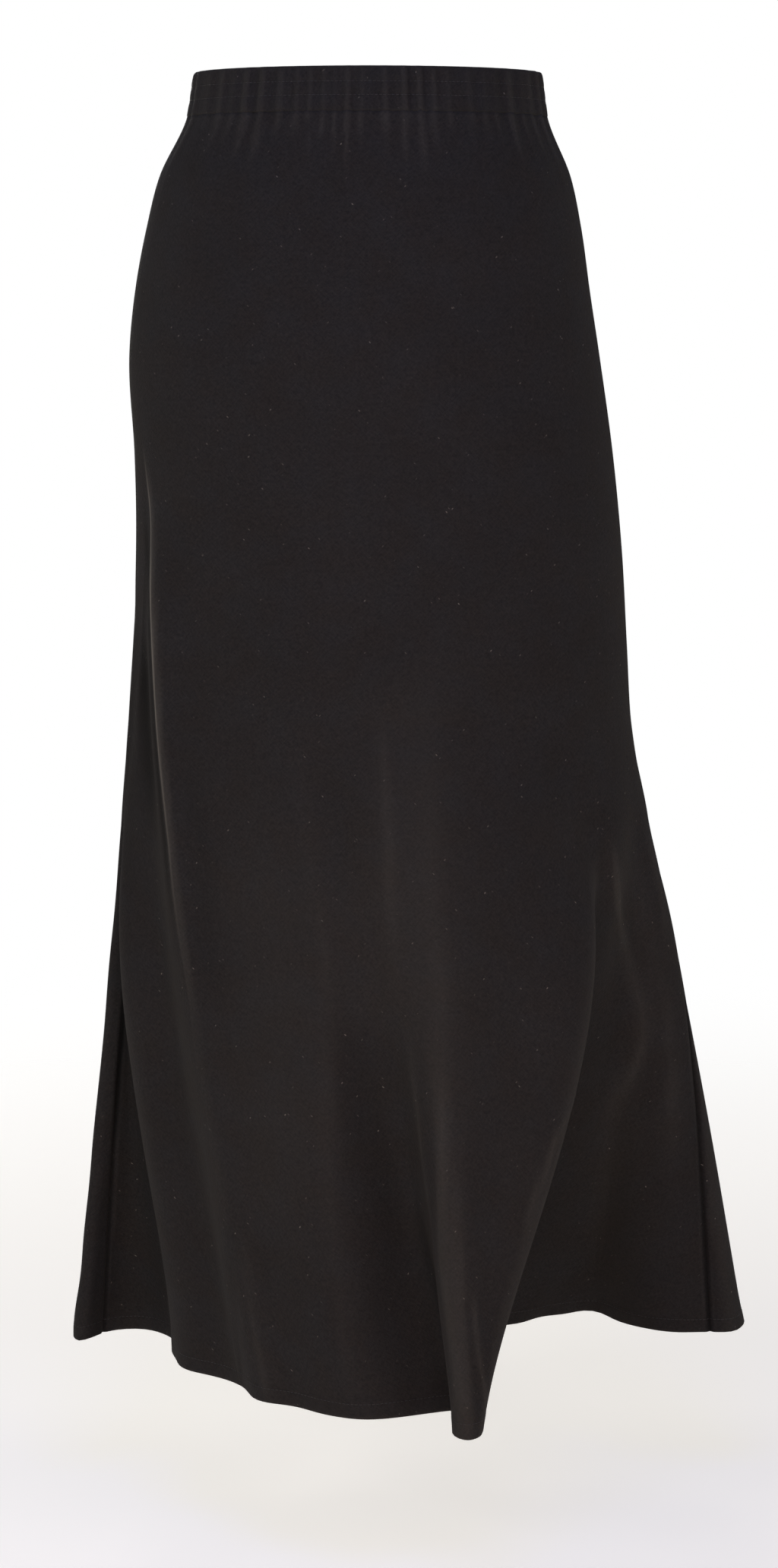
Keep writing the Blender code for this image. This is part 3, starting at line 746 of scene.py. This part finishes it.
class SkirtCut(PropertyGroup):
    """Sizes of the cloth and its sewing."""

    row_pitch: LengthProperty(
        name="Row pitch", description="Distance between rows of faces down the panels", default=0.0058
    )
    column_pitch: LengthProperty(
        name="Column pitch", description="Distance between columns of faces at the hem", default=0.0045
    )
    unevenness: LengthProperty(
        name="Unevenness", description="Height of the slow waves in the hanging cloth", default=0.001
    )
    hem_depth: LengthProperty(name="Hem depth", description="Depth of the turned-up hem", default=0.012)
    hem_layers: LengthProperty(
        name="Hem layers", description="Thickness that the turned hem adds inside", default=0.001
    )
    stitch_length: LengthProperty(name="Stitch length", description="Length of each stitch", default=0.0028)
    stitch_gap: LengthProperty(name="Stitch gap", description="Gap between stitches", default=0.0005)
    thread_width: LengthProperty(name="Thread width", description="Thickness of the thread", default=0.00042)
    gather_height: LengthProperty(
        name="Gather height", description="Height of the elastic's ripples", default=0.0008
    )
    band_columns: IntProperty(
        name="Band columns", description="Columns of faces round the waistband", default=720, min=90
    )


class SkirtFinish(PropertyGroup):
    """Colours, as sRGB hex, and surface of the cloth and thread."""

    cloth_colour: StringProperty(name="Cloth", description="Colour of the paler yarns", default="#242222")
    deep_colour: StringProperty(name="Deep", description="Colour of the darker yarns", default="#181718")
    # The paler colour of wear and painted highlights, on ridges, creases and the hem's edge.
    worn_and_highlight_colour: StringProperty(name="Rubbed", description="Colour that wear gives", default="#7a766f")
    fibre_colour: StringProperty(name="Fibre", description="Colour of loose fibre ends", default="#77716b")
    thread_colour: StringProperty(name="Thread", description="Colour of the sewing thread", default="#272629")
    # How far wear and painted highlights pale the colour.
    wear_and_highlight: FloatProperty(name="Wear", description="How far rubbing changes the colour", default=0.17)
    roughness: FloatProperty(name="Roughness", description="How matt it is", default=0.85, min=0, max=1)
    fuzz: FloatProperty(name="Fuzz", description="Strength of the nap's soft glow", default=0.04, min=0.0)


class SkirtStage(PropertyGroup):
    """The studio round the skirt."""

    floor_height: LengthProperty(
        name="Floor height", description="Height of the floor above the waist", default=-1.16
    )
    floor_radius: LengthProperty(
        name="Floor radius", description="Radius at which the floor has faded out", default=2.4
    )
    floor_colour: StringProperty(name="Floor", description="Colour as sRGB hex", default="#f7f6f4")
    floor_glow: FloatProperty(name="Floor glow", description="How much light it gives off", default=0.5)
    camera_distance: LengthProperty(
        name="Camera distance", description="Distance of the camera in front of the waist", default=2.8
    )
    camera_height: LengthProperty(
        name="Camera height", description="Height of the camera above the waist", default=-0.18
    )
    camera_side: LengthProperty(
        name="Camera side", description="Distance of the camera to the skirt's +X side", default=0.0165
    )
    camera_tilt: FloatProperty(
        name="Camera tilt", description="How far it looks down", default=math.radians(7.85), subtype="ANGLE"
    )
    lens: FloatProperty(name="Lens", description="Focal length on a 36 mm sensor", default=80, unit="CAMERA")


# --- Operators ---


class SKIRT_OT_panels(Operator):
    """Make the front and back panels, each with its side edges, folds and turned hem"""

    bl_idname = "skirt.panels"
    bl_label = "Make panels"

    def execute(self, context):
        cut, linen = context.scene.skirt_cut, shared(LINEN, black_linen, context.scene.skirt_finish)
        for node, panel, first, last in PANELS:
            grid = panel_cloth(panel, first, last, cut)
            piece = panel_shell(f"{panel}_cloth", grid, cut, linen)
            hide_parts(node)
        return {"FINISHED"}


def band_points(out_by, share, angle, gather_height):
    """Points round the waistband: the waist's oval at each share of the band's height, moved out by out_by
    and by the elastic's ripples, which are lower at the band's edges. Also which way is out."""
    height = BAND_BOTTOM * (1 - share)[:, None] + 0 * angle
    middle = np.concatenate([on_oval(angle + 0 * height, height), height[..., None]], axis=-1)
    around = np.roll(middle, -1, axis=1) - np.roll(middle, 1, axis=1)
    out = unit(np.cross([0.0, 0.0, -1.0], around))
    swell = BAND_EDGE_RIPPLE + (1 - BAND_EDGE_RIPPLE) * (1 - (2 * share - 1) ** BAND_SQUARE)
    ripple = gather_height * swell[:, None] * gather_wave(angle_round(middle))
    return middle + out * (out_by[:, None] + ripple)[..., None], out


class SKIRT_OT_waistband(Operator):
    """Make the elastic waistband and the two rows of stitches that hold its elastic"""

    bl_idname = "skirt.waistband"
    bl_label = "Make waistband"

    def execute(self, context):
        scene = context.scene
        cut, count = scene.skirt_cut, scene.skirt_cut.band_columns
        angle = np.arange(count) / count * 360.0
        out_by, share = np.array(BAND_SECTION).T
        points, _ = band_points(out_by * MM, share, angle, cut.gather_height)
        faces = grid_quads(len(share), count, closed_rows=True, closed_columns=True).tolist()
        round_it = lengths_along(points, 1) * BAND_FULLNESS
        over = np.insert(np.cumsum(np.hypot(np.diff(out_by * MM), np.diff(share * BAND_BOTTOM))), 0, 0.0)
        uv = np.stack([round_it, np.broadcast_to(over[:, None], round_it.shape)], axis=-1)
        crest = smooth_step(gather_wave(angle_round(points))) * (out_by > 0)[:, None]
        top = bell(share - 1, BAND_TOP)[:, None]
        linen = shared(LINEN, black_linen, scene.skirt_finish)
        piece = make_piece("waist_band", points, faces, linen, uv, BAND_RUB * np.maximum(crest, top))
        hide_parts("waistband")
        thread = shared(THREAD, black_thread, scene.skirt_finish)
        closed = np.append(np.arange(count), 0)
        for name, out_mm, high in BAND_STITCHES:
            path, out = band_points(np.array([out_mm * MM]), np.array([high]), angle, cut.gather_height)
            stitch_run(name, path[0, closed], out[0, closed], cut, thread)
        return {"FINISHED"}


class SKIRT_OT_hem_stitches(Operator):
    """Sew each panel's hem with a row of stitches"""

    bl_idname = "skirt.hem_stitches"
    bl_label = "Sew hem"

    def execute(self, context):
        scene = context.scene
        cut, thread = scene.skirt_cut, shared(THREAD, black_thread, scene.skirt_finish)
        for _, panel, first, last in PANELS:
            grid = panel_cloth(panel, first, last, cut)
            row = int(np.argmin(abs(grid.to_hem[:, 0] - cut.hem_depth + HEM_STITCH_IN)))
            face = grid.middle[row] + grid.out[row] * (SHELL_OUT + HEM_SWELL)
            stitch_run(f"{panel}_hem_stitches", face, grid.out[row], cut, thread)
        return {"FINISHED"}


FLOOR_SIDES = 96
LAMPS = (
    # name, place, what it points at, size, watts, colour
    ("left", (-2.4, -2.0, 0.2), (0.0, 0.0, -0.6), 1.6, 34.0, "#fffbf6"),
    ("right", (2.3, -2.0, 0.2), (0.0, 0.0, -0.6), 1.6, 17.0, "#fff6fb"),
    ("low", (0.2, -2.6, -1.0), (0.0, 0.0, -0.7), 1.4, 40.0, "#fff9e6"),
    ("warm_floor", (0.1, -1.5, -1.1), (0.0, 0.0, -0.8), 0.8, 4.0, "#ff9070"),
    ("cool_top", (0.0, -1.0, 0.6), (0.0, 0.0, -0.2), 0.7, 4.0, "#5078ff"),
    ("left_rim", (-2.6, 0.8, 0.2), (0.0, 0.0, -0.6), 1.4, 15.0, "#fffaf2"),
    ("right_rim", (2.6, 0.8, 0.2), (0.0, 0.0, -0.6), 1.4, 13.0, "#fffaf2"),
    ("behind", (-0.8, 2.9, 0.3), (0.0, 0.0, -0.6), 1.4, 22.0, "#fffaf2"),
)


class SKIRT_OT_stage(Operator):
    """Set up the floor, the lamps, the pale surroundings and the camera"""

    bl_idname = "skirt.stage"
    bl_label = "Make stage"

    def execute(self, context):
        scene, stage = context.scene, context.scene.skirt_stage
        turn = np.arange(FLOOR_SIDES) / FLOOR_SIDES * 2 * math.pi
        edge = np.stack([np.cos(turn), np.sin(turn), 0 * turn], axis=-1) * stage.floor_radius
        mesh = bpy.data.meshes.new("floor")
        mesh.from_pydata((edge + [0.0, 0.0, stage.floor_height]).tolist(), [], [list(range(len(turn)))])
        mesh.materials.append(white_paper(stage))
        floor = bpy.data.objects.new("floor", mesh)
        scene.collection.objects.link(floor)
        for name, place, target, size, watts, colour in LAMPS:
            lamp = bpy.data.lights.new(name, "AREA")
            lamp.shape, lamp.size, lamp.energy, lamp.color = "SQUARE", size, watts, linear(colour)[:3]
            light = bpy.data.objects.new(name, lamp)
            light.location = place
            light.rotation_euler = (Vector(target) - Vector(place)).to_track_quat("-Z", "Y").to_euler()
            scene.collection.objects.link(light)
        self.light_world(scene)
        camera = bpy.data.objects.new("camera", bpy.data.cameras.new("camera"))
        camera.data.lens = stage.lens
        camera.location = (stage.camera_side, -stage.camera_distance, stage.camera_height)
        camera.rotation_euler = (math.pi / 2 - stage.camera_tilt, 0.0, 0.0)
        scene.collection.objects.link(camera)
        scene.camera = camera
        scene.view_settings.view_transform = "Standard"
        return {"FINISHED"}

    def light_world(self, scene):
        """A white surround to look at, which lights the skirt more weakly than it shows."""
        world = bpy.data.worlds.new("pale_studio")
        world.use_nodes = True
        world.node_tree.nodes.clear()
        add = partial(add_node, world.node_tree)
        shown = add("Background", Color=linear("#ffffff"), Strength=1.0)
        glow = add("Background", Color=linear("#f6f4f2"), Strength=0.06)
        mixed = add("MixShader", _0=add("LightPath", out="Is Camera Ray"), _1=glow, _2=shown)
        add("OutputWorld", Surface=mixed)
        scene.world = world


class VIEW3D_PT_skirt(Panel):
    """The skirt's sizes and finishes, and the buttons that make its pieces"""

    bl_idname = "VIEW3D_PT_skirt"
    bl_label = "Linen maxi skirt"
    bl_space_type = "VIEW_3D"
    bl_region_type = "UI"
    bl_category = "Skirt"

    def draw(self, context):
        for group, operators in SIDEBAR.items():
            settings = getattr(context.scene, group)
            box = self.layout.box()
            for name in settings.__annotations__:
                box.prop(settings, name)
            for operator in operators:
                box.operator(operator.bl_idname)


GROUPS = {"skirt_cut": SkirtCut, "skirt_finish": SkirtFinish, "skirt_stage": SkirtStage}
SIDEBAR = {
    "skirt_cut": (SKIRT_OT_panels, SKIRT_OT_waistband, SKIRT_OT_hem_stitches),
    "skirt_finish": (),
    "skirt_stage": (SKIRT_OT_stage,),
}
OPERATORS = [operator for operators in SIDEBAR.values() for operator in operators]
CLASSES = [*GROUPS.values(), *OPERATORS, VIEW3D_PT_skirt]


def register():
    """Makes the classes known to Blender, and puts their settings on the scene."""
    for cls in CLASSES:
        bpy.utils.register_class(cls)
    for name, group in GROUPS.items():
        setattr(bpy.types.Scene, name, PointerProperty(type=group))


def unregister():
    """Takes away what register put there."""
    for name in GROUPS:
        delattr(bpy.types.Scene, name)
    for cls in reversed(CLASSES):
        bpy.utils.unregister_class(cls)


def main():
    """Makes every piece and the stage."""
    register()
    bpy.ops.skirt.panels()
    bpy.ops.skirt.waistband()
    bpy.ops.skirt.hem_stitches()
    bpy.ops.skirt.stage()


if __name__ == "__main__":
    main()
